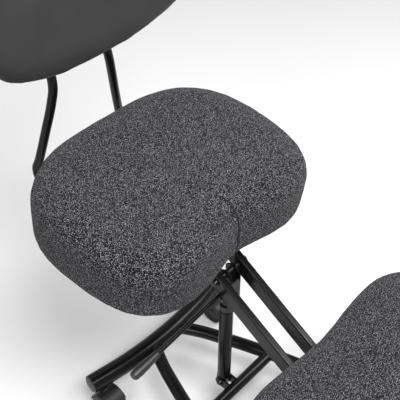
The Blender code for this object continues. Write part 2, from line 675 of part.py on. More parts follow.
bracket = seat_bracket()
SCREW_SPOTS = [(sx * 0.062, sy) for sx in (-1, 1) for sy in (-0.042, 0.078)]
for number, (x, y) in enumerate(SCREW_SPOTS):
    head = seat_matrix(x, y, PLATE_LOW - GAP)
    tip = seat_matrix(x, y, SEAT_LOW + 0.009)
    lower = seat_matrix(x, y, PLATE_LOW - GAP - 0.0035)
    shank = rod("screw", "zinc", 0.003, lower, tip, 16)
    place(join(shank, rod("head", "zinc", 0.0058, lower, head, 20)), f"seat_screw_{number + 1}", "zinc")
    low, high = seat_matrix(x, y, PLATE_LOW - 0.01), seat_matrix(x, y, SEAT_LOW + 0.0093)
    bracket = cut(bracket, rod("cutter", "zinc", 0.0033, low, high, 16))
    board = cut(board, rod("cutter", "zinc", 0.0033, low, high, 16))
place(bracket, "seat_bracket", "powder_coat")
bolt("rail_bolt", "zinc", BOLT_RADIUS, *REAR_BOLT, RAIL_OUT + 0.0010, 0.0062, 0.0045)


# ---------------------------------------------------------------- backrest support
BACK_TUBE = [(0.056, 0.052, SEAT_HEIGHT - 0.1235), (0.074, 0.120, SEAT_HEIGHT - 0.1170),
             (0.092, 0.196, SEAT_HEIGHT - 0.1090), (0.1010, 0.236, SEAT_HEIGHT - 0.0990),
             (0.1005, 0.2505, SEAT_HEIGHT - 0.0760), (0.0945, 0.2470, SEAT_HEIGHT - 0.0560),
             (0.0800, 0.2370, SEAT_HEIGHT + 0.0000), (0.0660, 0.2265, SEAT_HEIGHT + 0.0600),
             (0.0615, 0.2245, SEAT_HEIGHT + 0.0850), (0.0595, 0.2310, SEAT_HEIGHT + 0.1200),
             (0.0580, 0.2450, SEAT_HEIGHT + 0.1700), (0.0570, 0.2590, SEAT_HEIGHT + 0.2200),
             (0.0565, 0.2670, SEAT_HEIGHT + 0.2500)]


def back_tube_points(side):
    return [(side * x, y, z) for x, y, z in BACK_TUBE]


def back_tube(word, side):
    return tube("backrest_tube_" + word, "powder_coat", back_tube_points(side), BACK_TUBE_RADIUS,
                TUBE_WALL, 2, 4)


mirror_pair(back_tube)


def back_cutter(side):
    return tube("cutter", "powder_coat", back_tube_points(side), BACK_TUBE_RADIUS + GAP, 0.0, 2, 4)


mount = box("backrest_mount", "plastic", (0.214, 0.060, 0.032), seat_matrix(0.0, 0.125, SEAT_LOW - 0.0163),
            (SEAT_TILT, 0.0, 0.0), 0.003)
mount = bake(mount)
for side_sign in (-1, 1):
    mount = cut(mount, back_cutter(side_sign))

# The cross plate between the uprights carries the backrest's hinge.
BACK_LEAN = atan2(0.2670 - 0.2450, 0.080)
cross_y = 0.2576 - (BACK_TUBE_RADIUS + GAP + 0.0015) / cos(BACK_LEAN)
cross = box("backrest_crossplate", "powder_coat", (0.138, 0.003, 0.050), (0.0, cross_y, BACK_PIVOT[1]),
            (-BACK_LEAN, 0.0, 0.0), 0.001)
lug_root = [(cross_y + 0.0003, BACK_PIVOT[1] + rise) for rise in (-0.0085, 0.0085)]
hinge_lug = side_plate("lug", "powder_coat", arc(*BACK_PIVOT, 0.0065, 100, 260, 9) + lug_root, 0.034, 0.0)
cross = join(bake(cross), hinge_lug)
cross = cut(cross, rod("cutter", "zinc", 0.003 + GAP, (-0.03, *BACK_PIVOT), (0.03, *BACK_PIVOT), 16))
place(cross, "backrest_crossplate", "powder_coat")
bolt("backrest_bolt", "zinc", 0.003, *BACK_PIVOT, 0.0225, 0.0052, 0.0032)

# ---------------------------------------------------------------- backrest
BACK_OUTLINE = [(0.000, 0.128), (0.046, 0.130), (0.083, 0.135), (0.123, 0.147), (0.155, 0.160),
                (0.181, 0.176), (0.200, 0.200), (0.208, 0.235), (0.205, 0.280), (0.190, 0.322),
                (0.158, 0.350), (0.110, 0.366), (0.055, 0.372), (0.000, 0.373)]


def back_surface(x, z):
    """y of the backrest's rear face: it leans back and curves round the sitter."""
    return BACK_REAR_Y + (z - SEAT_HEIGHT - 0.128) * BACK_SLOPE - x * x / (2 * BACK_CURVE_RADIUS)


def bent_back(name, look, outline, offset, thickness, edge):
    """A slab that follows the backrest's rear face at an offset in front of it."""
    slab = plate(name, look, outline, thickness, rounded=True, steps=2)
    slab.rotation_euler = (pi / 2, 0.0, 0.0)
    slab.location = (0.0, 0.0, SEAT_HEIGHT)
    slab = bake(slab)
    bm = bmesh.new()
    bm.from_mesh(slab.data)
    bmesh.ops.dissolve_limit(bm, angle_limit=radians(0.5), verts=bm.verts, edges=bm.edges)
    bm.to_mesh(slab.data)
    bm.free()
    if edge:
        bevel = slab.modifiers.new("edge", "BEVEL")
        bevel.width = edge
        bevel.segments = 2
        bevel.limit_method = "ANGLE"
        bevel.angle_limit = radians(60)
        slab = bake(slab)
    slab.data.transform(slab.matrix_basis)
    slab.matrix_basis = Matrix.Identity(4)
    bm = bmesh.new()
    bm.from_mesh(slab.data)
    cuts = [((x * 0.05, 0.0, 0.0), (1.0, 0.0, 0.0)) for x in range(-3, 4)]
    for point, normal in cuts:
        everything = bm.verts[:] + bm.edges[:] + bm.faces[:]
        bmesh.ops.bisect_plane(bm, geom=everything, plane_co=point, plane_no=normal)
    bmesh.ops.triangulate(bm, faces=bm.faces)
    for vert in bm.verts:
        x, y, z = vert.co
        vert.co.y = back_surface(x, z) - offset - thickness / 2 + y
    bm.to_mesh(slab.data)
    bm.free()
    return smooth(slab)


back_full = both_sides(BACK_OUTLINE)
bent_back("backrest_shell", "plastic", scaled(back_full, 0.985, 0.2505), 0.0, SHELL_THICK, 0.0)
bent_back("backrest_cushion", "backrest_cover", back_full, SHELL_THICK + 4 * GAP,
          BACK_THICK - SHELL_THICK, 0.010)
ear_y = back_surface(0.0, BACK_PIVOT[1]) + GAP + 0.0012
back_bracket = box("backrest_bracket", "powder_coat", (0.060, 0.0024, 0.052),
                   (0.0, ear_y + 0.0005, BACK_PIVOT[1]), (-atan2(BACK_SLOPE, 1.0), 0.0, 0.0))
back_bracket = bake(back_bracket)
ear_outline = arc(*BACK_PIVOT, 0.0065, -100, 100, 9) + [(ear_y, BACK_PIVOT[1] + rise) for rise in (0.0085, -0.0085)]
for side_sign in (-1, 1):
    back_bracket = join(back_bracket, side_plate("ear", "powder_coat", ear_outline, 0.003, side_sign * 0.0192))
back_bracket = cut(back_bracket,
                   rod("cutter", "zinc", 0.003 + GAP, (-0.03, *BACK_PIVOT), (0.03, *BACK_PIVOT), 16))
place(back_bracket, "backrest_bracket", "powder_coat")

# ---------------------------------------------------------------- knee rest
STAND_X = INNER - 0.002
KNEE_EAR_X = INNER + GAP + 0.0022


def knee_stand():
    """An upright channel between the rails that carries the knee rest's hinge."""
    low_y, low_z = KNEE_BOLT
    top_y, top_z = KNEE_PIVOT
    outline = arc(top_y, top_z, 0.012, 0, 180, 11) + arc(low_y, low_z, 0.0135, 180, 360, 11)
    holes = [(low_y, low_z, BOLT_RADIUS + GAP), (top_y, top_z, BOLT_RADIUS + GAP)]
    sides = [side_plate("knee_stand", "powder_coat", outline, 0.004, s * STAND_X, holes) for s in (-1, 1)]
    web = box("web", "powder_coat", (2 * STAND_X + 0.002, 0.003, 0.060),
              (0.0, top_y - 0.0100, (low_z + top_z) / 2))
    return join(sides[0], web, sides[1])


place(knee_stand(), "knee_stand", "powder_coat")
bolt("knee_stand_bolt", "zinc", BOLT_RADIUS, *KNEE_BOLT, RAIL_OUT + 0.0010, 0.0062, 0.0045)


def knee_point(x, y, z):
    """A point of the knee rest's tilted frame, whose origin is the middle of its top."""
    return (x, KNEE_Y + y * cos(KNEE_TILT) - z * sin(KNEE_TILT),
            KNEE_TOP + y * sin(KNEE_TILT) + z * cos(KNEE_TILT))


KNEE_OUTLINE = [(0.000, 0.098), (0.045, 0.102), (0.090, 0.107), (0.135, 0.109), (0.172, 0.104),
                (0.205, 0.084), (0.228, 0.048), (0.236, 0.004), (0.231, -0.040), (0.208, -0.080),
                (0.168, -0.103), (0.120, -0.108), (0.072, -0.100), (0.034, -0.086), (0.000, -0.081)]
knee_full = both_sides(KNEE_OUTLINE)
knee = cushion("knee_cushion", "fabric", knee_full, KNEE_THICK, KNEE_EDGE)
knee_pocket = plate("cutter", "fabric", scaled(knee_full, 0.914, 0.004), 2 * (KNEE_BOARD_THICK + GAP),
                    rounded=True, steps=2)
knee_pocket.location = (0.0, 0.0, -KNEE_THICK / 2)
knee = cut(knee, bake(knee_pocket))
knee.location = knee_point(0.0, 0.0, -KNEE_THICK / 2)
knee.rotation_euler = (KNEE_TILT, 0.0, 0.0)
knee_board = bake(plate("knee_board", "plywood", scaled(knee_full, 0.910, 0.004), KNEE_BOARD_THICK,
                        rounded=True, steps=2))
knee_board.location = knee_point(0.0, 0.0, -KNEE_THICK + KNEE_BOARD_THICK / 2)
knee_board.rotation_euler = (KNEE_TILT, 0.0, 0.0)
knee_bracket = box("knee_bracket", "powder_coat", (0.130, 0.090, 0.004),
                   knee_point(0.0, -0.005, -KNEE_THICK - GAP - 0.002), (KNEE_TILT, 0.0, 0.0), 0.0015)
knee_bracket = bake(knee_bracket)
under = knee_point(0.0, 0.0, -KNEE_THICK - GAP - 0.002)
ear_top = [(y, under[2] + (y - under[1]) * tan(KNEE_TILT)) for y in (KNEE_PIVOT[0] + 0.020, KNEE_PIVOT[0] - 0.020)]
for side_sign in (-1, 1):
    ear = side_plate("ear", "powder_coat", arc(*KNEE_PIVOT, 0.011, 190, 350, 11) + ear_top, 0.004,
                     side_sign * KNEE_EAR_X, [(*KNEE_PIVOT, BOLT_RADIUS + GAP)])
    knee_bracket = join(knee_bracket, ear)
place(knee_bracket, "knee_bracket", "powder_coat")

# The hinge bolt has a head on one side; on the other its thread carries the clamping knob.
hinge_out = KNEE_EAR_X + 0.002
KNOB_X = -hinge_out - 0.0142
shank = rod("knee_hinge_bolt", "zinc", BOLT_RADIUS, (hinge_out + 0.0005, *KNEE_PIVOT),
            (-hinge_out - 0.020, *KNEE_PIVOT), 20)
head_profile = [(0.0, 0.0045), (0.0036, 0.0042), (0.0060, 0.0022), (0.0066, 0.0), (0.0, 0.0)]
bolt_head = turned("head", "zinc", head_profile, (hinge_out + GAP, *KNEE_PIVOT), (1, 0, 0), 20)
place(join(shank, bolt_head), "knee_hinge_bolt", "zinc")


def knob_point(angle):
    """A point of the knob's five-lobed rim."""
    radius = 0.0185 + 0.0022 * cos(5 * angle)
    return (radius * cos(angle), radius * sin(angle))


knob = plate("knee_knob", "plastic", [knob_point(2 * pi * i / 40) for i in range(40)], 0.014)
knob.rotation_euler = (0.0, pi / 2, 0.0)
knob.location = (KNOB_X, *KNEE_PIVOT)
knob = bake(knob)
knob = join(knob, rod("hub", "plastic", 0.009, (-hinge_out - 0.0005, *KNEE_PIVOT),
                      (-hinge_out - 0.0100, *KNEE_PIVOT), 24))
knob = cut(knob, rod("cutter", "plastic", BOLT_RADIUS + GAP, (-hinge_out + 0.002, *KNEE_PIVOT),
                     (-hinge_out - 0.0203, *KNEE_PIVOT), 20))
place(knob, "knee_knob", "plastic")


# ---------------------------------------------------------------- moving bodies
def body(name, parent, point, nodes):
    """Hang the pieces of one moving body on an empty that stands on its joint's axis."""
    pivot = bpy.data.objects.new(name + "_pivot", None)
    parts.objects.link(pivot)
    point = Vector(point)
    pivot.parent = parent or layout
    pivot.location = point - (pivots[parent.name] if parent else Vector())
    pivots[pivot.name] = point
    for node in nodes:
        piece = bpy.data.objects[node]
        piece.matrix_basis = Matrix.Translation(-point) @ piece.matrix_basis
        piece.parent = pivot
    return pivot


pivots = {}
seat_frame = body("seat_frame", None, (0.0, *PIVOT), [
    "seat_rail_left", "seat_rail_right", "seat_rail_cap_left", "seat_rail_cap_right", "pivot_sleeve",
    "axle_bolt", "gas_hanger", "gas_upper_bolt", "seat_bracket", "seat_board", "seat_cushion", "seat_screw_1",
    "seat_screw_2", "seat_screw_3", "seat_screw_4", "rail_bolt", "knee_stand", "knee_stand_bolt",
    "knee_hinge_bolt", "backrest_tube_left", "backrest_tube_right", "backrest_mount", "backrest_crossplate",
    "backrest_bolt"])
body("knee_rest", seat_frame, (0.0, *KNEE_PIVOT), ["knee_cushion", "knee_board", "knee_bracket"])
body("knee_knob", seat_frame, (KNOB_X, *KNEE_PIVOT), ["knee_knob"])
body("backrest", seat_frame, (0.0, *BACK_PIVOT), ["backrest_shell", "backrest_cushion", "backrest_bracket"])
body("release_lever", seat_frame, LEVER_PIVOT, ["release_lever", "release_grip"])
cylinder = body("gas_cylinder", None, gas_base, ["gas_cylinder", "gas_gland"])
body("gas_piston", cylinder, gas_point(GAS_LENGTH), ["gas_rod", "gas_head"])
for tag, (x, y) in CASTER_STEMS.items():
    fork = body("caster_" + tag, None, (x, y, BAR_HEIGHT - BAR_RADIUS), ["caster_fork_" + tag])
    body("caster_wheels_" + tag, fork, (x, y - CASTER_TRAIL, HUB_HEIGHT),
         [f"caster_wheel_{tag}_left", f"caster_wheel_{tag}_right"])
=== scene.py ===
"""Looks of the kneeling chair: its upholstery, seams, finishes, light and camera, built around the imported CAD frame.

Everything is in metres, in the frame of the CAD model: +Z up, the sitter faces -Y, +X is the sitter's left.
"""
import json
from math import cos, pi, radians, sin

import bmesh
import bpy
import numpy as np
from mathutils import Matrix, Vector, noise

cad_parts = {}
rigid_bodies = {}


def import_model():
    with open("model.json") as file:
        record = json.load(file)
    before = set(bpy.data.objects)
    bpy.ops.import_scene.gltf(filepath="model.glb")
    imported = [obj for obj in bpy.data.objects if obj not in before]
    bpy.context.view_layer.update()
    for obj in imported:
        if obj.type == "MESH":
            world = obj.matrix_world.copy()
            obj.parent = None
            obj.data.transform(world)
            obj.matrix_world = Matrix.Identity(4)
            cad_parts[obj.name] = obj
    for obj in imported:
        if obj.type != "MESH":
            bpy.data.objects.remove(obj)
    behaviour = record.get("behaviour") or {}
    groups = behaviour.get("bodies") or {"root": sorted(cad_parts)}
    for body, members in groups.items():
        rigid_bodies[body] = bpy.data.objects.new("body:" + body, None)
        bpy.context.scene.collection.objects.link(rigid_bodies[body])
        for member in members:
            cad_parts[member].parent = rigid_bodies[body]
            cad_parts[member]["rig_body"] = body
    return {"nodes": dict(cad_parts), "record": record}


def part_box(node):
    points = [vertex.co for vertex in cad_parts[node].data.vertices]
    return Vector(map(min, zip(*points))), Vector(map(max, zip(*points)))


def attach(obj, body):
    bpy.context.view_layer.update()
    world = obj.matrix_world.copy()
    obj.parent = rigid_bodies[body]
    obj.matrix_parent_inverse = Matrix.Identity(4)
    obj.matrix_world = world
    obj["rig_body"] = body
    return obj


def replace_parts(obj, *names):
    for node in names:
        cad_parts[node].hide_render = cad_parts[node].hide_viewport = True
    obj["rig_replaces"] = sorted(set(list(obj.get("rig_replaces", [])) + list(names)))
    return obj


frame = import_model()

NODES = frame["nodes"]
MOUNTS = {mount["name"]: mount for mount in frame["record"]["mounts"]}
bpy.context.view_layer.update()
scene = bpy.context.scene

# ---------------------------------------------------------------- dimensions of the looks
CAMERA_AIM = Vector((-0.035, 0.125, 0.530))      # a point on the seat's top
CAMERA_DISTANCE = 1.210
CAMERA_HEADING = radians(47.9)                    # to the sitter's right of straight ahead
CAMERA_DROP = radians(41.28)                      # how far it looks down
CAMERA_LENS = 72.0
YARN = 0.00078                                    # pitch of the upholstery's weave
VOXEL = 0.005                                     # remesh size of the padded pieces
SEAT_UNDERSIDE = -0.108                           # lower face of the seat board, below the seat's top
KNEE_UNDERSIDE = -0.058
FOLD_AHEAD = 0.1160                               # how far ahead of the seat's middle the fold in its lobes runs
EDGE_SHARE = 0.36                                 # height kept by the pressed copy that fills a cushion's lower edge
FOAM_PUSH = 0.0022                                # how far the foam stands proud of the drawn-in cover
HELD_LEVELS = 10                                  # steps between a held and a free cover in the cloth simulation
NEAR_LINE = 0.0001                                # points this near a sewn line count as on it
CUTS = (-3.0, -1.6, -0.8, 0.0, 0.8, 1.6, 3.0)     # where edges are cut beside a sewn line, in widths of its groove
PRESSURE = 4.0                                    # of the stuffing on the cover
CLOTH_FRAMES = 20
COVER_DROP = 0.00006                              # how far the turned-in cover lies below the board
COVER_SPARE = 0.0025                              # cover below the board that lay_flat presses up against it


# ---------------------------------------------------------------- materials
class Look:
    """A material with short calls that add nodes to its tree."""

    def __init__(self, name, colour=(0.02, 0.02, 0.02), roughness=0.5, metallic=0.0):
        self.material = bpy.data.materials.new(name)
        self.material.use_nodes = True
        self.tree = self.material.node_tree
        self.shader = self.tree.nodes["Principled BSDF"]
        self.put(self.shader, {"Base Color": (*colour, 1.0), "Roughness": roughness, "Metallic": metallic})
        self.place = self.add("ShaderNodeTexCoord").outputs["Object"]

    def put(self, node, values):
        for name, value in values.items():
            if isinstance(value, bpy.types.NodeSocket):
                self.tree.links.new(value, node.inputs[name])
            else:
                node.inputs[name].default_value = value

    def add(self, kind, values=None, **settings):
        node = self.tree.nodes.new(kind)
        for name, value in settings.items():
            setattr(node, name, value)
        self.put(node, values or {})
        return node

    def math(self, operation, a, b=0.0):
        return self.add("ShaderNodeMath", {0: a, 1: b}, operation=operation).outputs[0]

    def noise(self, scale, detail=2.0, roughness=0.5, where=None):
        values = {"Vector": where or self.place, "Scale": scale, "Detail": detail, "Roughness": roughness}
        return self.add("ShaderNodeTexNoise", values).outputs["Fac"]

    def stretched(self, factors):
        """The object's coordinates, multiplied along each axis."""
        return self.add("ShaderNodeVectorMath", {0: self.place, 1: factors}, operation="MULTIPLY").outputs[0]

    def span(self, value, low, high, to_low, to_high):
        values = {"Value": value, "From Min": low, "From Max": high, "To Min": to_low, "To Max": to_high}
        return self.add("ShaderNodeMapRange", values).outputs["Result"]

    def ramp(self, value, *stops):
        node = self.add("ShaderNodeValToRGB", {"Fac": value})
        ramp = node.color_ramp
        while len(ramp.elements) < len(stops):
            ramp.elements.new(0.5)
        for element, (position, colour) in zip(ramp.elements, stops):
            element.position = position
            element.color = (*colour, 1.0)
        return node.outputs["Color"]

    def bump(self, height, distance, strength):
        values = {"Height": height, "Distance": distance, "Strength": strength}
        return self.add("ShaderNodeBump", values).outputs["Normal"]

    def finish(self, **sockets):
        self.put(self.shader, {name.replace("_", " "): value for name, value in sockets.items()})
        return self.material


def woven_fabric():
    """Heathered charcoal cloth: a plain weave of flecked yarns, laid over the pad along its own faces.

    A point's tone adds its yarn's fleck, a random part of its crossing, and which of two pairs of yarns is on top.
    The colour is then darkened with painted shade where the yarns dip between crossings."""
    look = Look("heathered_fabric")
    xyz = look.add("ShaderNodeSeparateXYZ", {0: look.place})
    normal = look.add("ShaderNodeTexCoord").outputs["Normal"]
    size = look.add("ShaderNodeVectorMath", {0: normal}, operation="ABSOLUTE").outputs[0]
    facing = look.add("ShaderNodeSeparateXYZ", {0: size})
    sideways = look.math("GREATER_THAN", facing.outputs["X"],
                         look.math("MAXIMUM", facing.outputs["Y"], facing.outputs["Z"]))
    upwards = look.math("GREATER_THAN", facing.outputs["Z"],
                        look.math("MAXIMUM", facing.outputs["X"], facing.outputs["Y"]))

    def either(switch, when_on, when_off):
        return look.add("ShaderNodeMix", {"Factor": switch, "A": when_off, "B": when_on}).outputs["Result"]

    drift = look.noise(22.0, 1.0)
    across = look.math("DIVIDE", either(sideways, xyz.outputs["Y"], xyz.outputs["X"]), YARN)
    along = look.math("DIVIDE", either(upwards, xyz.outputs["Y"], xyz.outputs["Z"]), YARN)
    across = look.math("ADD", across, look.math("MULTIPLY", drift, 1.2))
    along = look.math("ADD", along, look.math("MULTIPLY", drift, -1.2))
    column, row = look.math("FLOOR", across), look.math("FLOOR", along)
    over = look.math("MODULO", look.math("ABSOLUTE", look.math("ADD", column, row)), 2.0)

    def random(*values):
        point = look.add("ShaderNodeCombineXYZ", dict(enumerate(values))).outputs[0]
        return look.add("ShaderNodeTexWhiteNoise", {"Vector": point}).outputs["Value"]

    def yarn(lengthwise, number, offset):
        """Flecks two crossings long, each yarn's starting at its own place."""
        start = look.math("MULTIPLY", random(number, offset), 9.0)
        fleck = look.math("FLOOR", look.math("MULTIPLY", look.math("ADD", lengthwise, start), 0.5))
        return random(fleck, number, offset)

    flecks = either(over, yarn(along, column, 1.0), yarn(across, row, 2.0))
    tone = look.math("ADD", look.math("MULTIPLY", flecks, 0.56), look.math("MULTIPLY", random(column, row), 0.26))
    pairs = [look.math("FLOOR", look.math("MULTIPLY", number, 0.5)) for number in (column, row)]
    basket = look.math("MODULO", look.math("ABSOLUTE", look.math("ADD", *pairs)), 2.0)
    tone = look.math("ADD", tone, look.math("MULTIPLY", basket, 0.18))
    colour = look.ramp(tone, (0.26, (0.0009, 0.0009, 0.0011)), (0.52, (0.0036, 0.0035, 0.0039)),
                       (0.68, (0.0275, 0.0268, 0.0290)), (0.84, (0.40, 0.39, 0.42)))
    bulge_a = look.math("SINE", look.math("MULTIPLY", look.math("FRACT", across), pi))
    bulge_b = look.math("SINE", look.math("MULTIPLY", look.math("FRACT", along), pi))
    height = look.math("POWER", look.math("MULTIPLY", bulge_a, bulge_b), 0.5)
    # painted shade: the colour falls to 45 % in the gaps where the yarns dip at the edges of each crossing
    painted_gap_shade = look.span(height, 0.0, 1.0, 0.45, 1.0)
    colour = look.add("ShaderNodeMix", {"Factor": 1.0, "A": colour, "B": painted_gap_shade}, data_type="RGBA",
                      blend_type="MULTIPLY").outputs["Result"]
    return look.finish(Base_Color=colour, Roughness=look.span(tone, 0.3, 0.8, 0.98, 0.80),
                       Normal=look.bump(height, 0.0004, 0.7), Sheen_Weight=0.05, Sheen_Roughness=0.5,
                       Specular_IOR_Level=0.10)


def powder_coat():
    """Satin black powder coat with its fine orange-peel."""
    look = Look("powder_coat")
    peel = look.noise(900.0, 2.0)
    cloud = look.noise(14.0, 3.0)
    colour = look.ramp(cloud, (0.3, (0.0034, 0.0034, 0.0037)), (0.7, (0.0050, 0.0050, 0.0054)))
    return look.finish(Base_Color=colour, Roughness=look.span(cloud, 0.3, 0.7, 0.20, 0.27),
                       Normal=look.bump(peel, 0.00012, 0.20), Specular_IOR_Level=0.22)


def moulded_plastic(name, colour, roughness, grain=1500.0):
    look = Look(name, roughness=roughness)
    spark = look.noise(grain, 2.0)
    cloud = look.noise(22.0, 2.0)
    tint = look.ramp(cloud, (0.3, tuple(c * 0.85 for c in colour)), (0.7, tuple(c * 1.15 for c in colour)))
    return look.finish(Base_Color=tint, Roughness=look.span(spark, 0.3, 0.7, roughness - 0.07, roughness + 0.07),
                       Normal=look.bump(spark, 0.00010, 0.4))


def turned_metal(name, colour, roughness):
    """Metal with faint tool marks and handling marks."""
    look = Look(name, roughness=roughness, metallic=1.0)
    marks = look.noise(1.0, 3.0, 0.6, look.stretched((2400.0, 300.0, 300.0)))
    cloud = look.noise(60.0, 3.0)
    tint = look.ramp(cloud, (0.3, tuple(c * 0.8 for c in colour)), (0.7, tuple(min(1.0, c * 1.15) for c in colour)))
    return look.finish(Base_Color=tint, Roughness=look.span(marks, 0.2, 0.8, roughness * 0.8, roughness * 1.3),
                       Normal=look.bump(marks, 0.00004, 0.3))


def plywood():
    look = Look("birch_plywood", roughness=0.65)
    rings = look.add("ShaderNodeTexWave", {"Vector": look.stretched((1.0, 0.18, 1.0)), "Scale": 24.0,
                                           "Distortion": 7.0, "Detail": 3.0}).outputs["Fac"]
    fibre = look.noise(1.0, 4.0, 0.6, look.stretched((700.0, 30.0, 700.0)))
    tone = look.math("ADD", look.math("MULTIPLY", rings, 0.5), look.math("MULTIPLY", fibre, 0.5))
    colour = look.ramp(tone, (0.25, (0.36, 0.23, 0.12)), (0.75, (0.62, 0.46, 0.29)))
    return look.finish(Base_Color=colour, Normal=look.bump(fibre, 0.00015, 0.5))


def coated_cover():
    """The backrest's smooth black cover: a coated cloth with a very fine grain."""
    look = Look("backrest_cover", roughness=0.55)
    grain = look.add("ShaderNodeTexVoronoi", {"Vector": look.place, "Scale": 1400.0}).outputs["Distance"]
    cloud = look.noise(18.0, 2.0)
    colour = look.ramp(cloud, (0.3, (0.016, 0.016, 0.0165)), (0.7, (0.021, 0.021, 0.0215)))
    return look.finish(Base_Color=colour, Roughness=look.span(cloud, 0.3, 0.7, 0.50, 0.60),
                       Normal=look.bump(grain, 0.00008, 0.35), Specular_IOR_Level=0.35)


def floor_paint():
    look = Look("studio_floor", (0.72, 0.72, 0.72), 0.75)
    return look.finish(Specular_IOR_Level=0.2)


FABRIC = woven_fabric()
COAT = powder_coat()
COVER = coated_cover()
NYLON = moulded_plastic("black_nylon", (0.011, 0.011, 0.0115), 0.45)
TREAD = moulded_plastic("wheel_tread", (0.018, 0.018, 0.019), 0.58, 900.0)
BLACKED = turned_metal("blacked_steel", (0.060, 0.060, 0.063), 0.28)
CHROME = turned_metal("chrome", (0.78, 0.78, 0.80), 0.10)
BOARD = plywood()
LINING = moulded_plastic("dust_cover", (0.020, 0.020, 0.021), 0.85, 420.0)
# near-black strips on the seat: along the notch seam its thread with the painted shade of its groove, along each
# lobe's fold painted shade only
SEAM_THREAD_AND_SHADE = moulded_plastic("seam_thread_and_shade", (0.004, 0.004, 0.0045), 0.85, 900.0)
STAPLE = turned_metal("staple_wire", (0.45, 0.45, 0.46), 0.35)
FINISHES = {"fabric": FABRIC, "powder_coat": COAT, "backrest_cover": COVER, "plastic": NYLON, "tread": TREAD,
            "zinc": BLACKED, "chrome": CHROME, "plywood": BOARD}
SLOT_OF = {part["node"]: part["material_slot"] for part in frame["record"]["subparts"]}


# ---------------------------------------------------------------- mesh helpers
def points_of(mesh):
    flat = np.empty(len(mesh.vertices) * 3, np.float32)
    mesh.vertices.foreach_get("co", flat)
    return flat.reshape(-1, 3).astype(float)


def set_points(mesh, points):
    mesh.vertices.foreach_set("co", points.astype(np.float32).ravel())
    mesh.update()


def normals_of(mesh):
    flat = np.empty(len(mesh.vertices) * 3, np.float32)
    mesh.vertices.foreach_get("normal", flat)
    return flat.reshape(-1, 3).astype(float)


def swept(name, radius, resolution):
    """An empty curve in 3-D with a round section and closed ends."""
    curve = bpy.data.curves.new(name, "CURVE")
    curve.dimensions = "3D"
    curve.bevel_depth = radius
    curve.bevel_resolution = resolution
    curve.use_fill_caps = True
    return curve


def evaluated_mesh(obj):
    bpy.context.view_layer.update()
    return bpy.data.meshes.new_from_object(obj.evaluated_get(bpy.context.evaluated_depsgraph_get()))


def mesh_of(curve):
    holder = new_object(curve.name, curve)
    mesh = evaluated_mesh(holder)
    bpy.data.objects.remove(holder)
    mesh.shade_smooth()
    return mesh


def apply_modifiers(obj):
    obj.data = evaluated_mesh(obj)
    obj.modifiers.clear()


def ease(values, low, high):
    """0 below low, 1 above high, smooth between."""
    t = np.clip((values - low) / (high - low), 0.0, 1.0)
    return t * t * (3 - 2 * t)


def new_object(name, data, body=None, look=None, stands_for=()):
    """Link a piece into the scene; give it its finish, its body and the CAD nodes it stands for."""
    obj = bpy.data.objects.new(name, data)
    scene.collection.objects.link(obj)
    if look:
        data.materials.clear()
        data.materials.append(look)
    if body:
        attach(obj, body)
    if stands_for:
        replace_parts(obj, *stands_for)
    return obj


def body_of(node):
    return NODES[node]["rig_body"]


# ---------------------------------------------------------------- padded pieces
class PadFrame:
    """The tilted frame of a cushion: x across, back along it and h above the flat mount on its top."""

    def __init__(self, mount):
        self.top = np.array(MOUNTS[mount]["pos_m"])
        self.up = np.array(MOUNTS[mount]["axis"])
        self.back = np.cross(self.up, (1.0, 0.0, 0.0))

    def local(self, points):
        offset = points - self.top
        return offset[:, 0], offset @ self.back, offset @ self.up

    def world(self, x, back, h):
        return Vector(self.top + np.array((x, 0.0, 0.0)) + self.back * back + self.up * h)


def welded_copy(node):
    """A CAD solid's mesh with its split corners joined."""
    mesh = NODES[node].data.copy()
    bm = bmesh.new()
    bm.from_mesh(mesh)
    bmesh.ops.remove_doubles(bm, verts=bm.verts, dist=0.00001)
    bm.to_mesh(mesh)
    bm.free()
    return mesh


def turned_in(node, board, place, underside):
    """What fills a cushion out at its lower edge: the cushion pressed flat, and its board, with some spare cover."""
    layers = []
    for piece, share in ((node, EDGE_SHARE), (board, 1.0)):
        mesh = welded_copy(piece)
        x, back, h = place.local(points_of(mesh))
        h = underside - COVER_SPARE + (h - underside) * share
        set_points(mesh, np.array([place.world(*point) for point in zip(x, back, h)]))
        layers.append(mesh)
    return layers


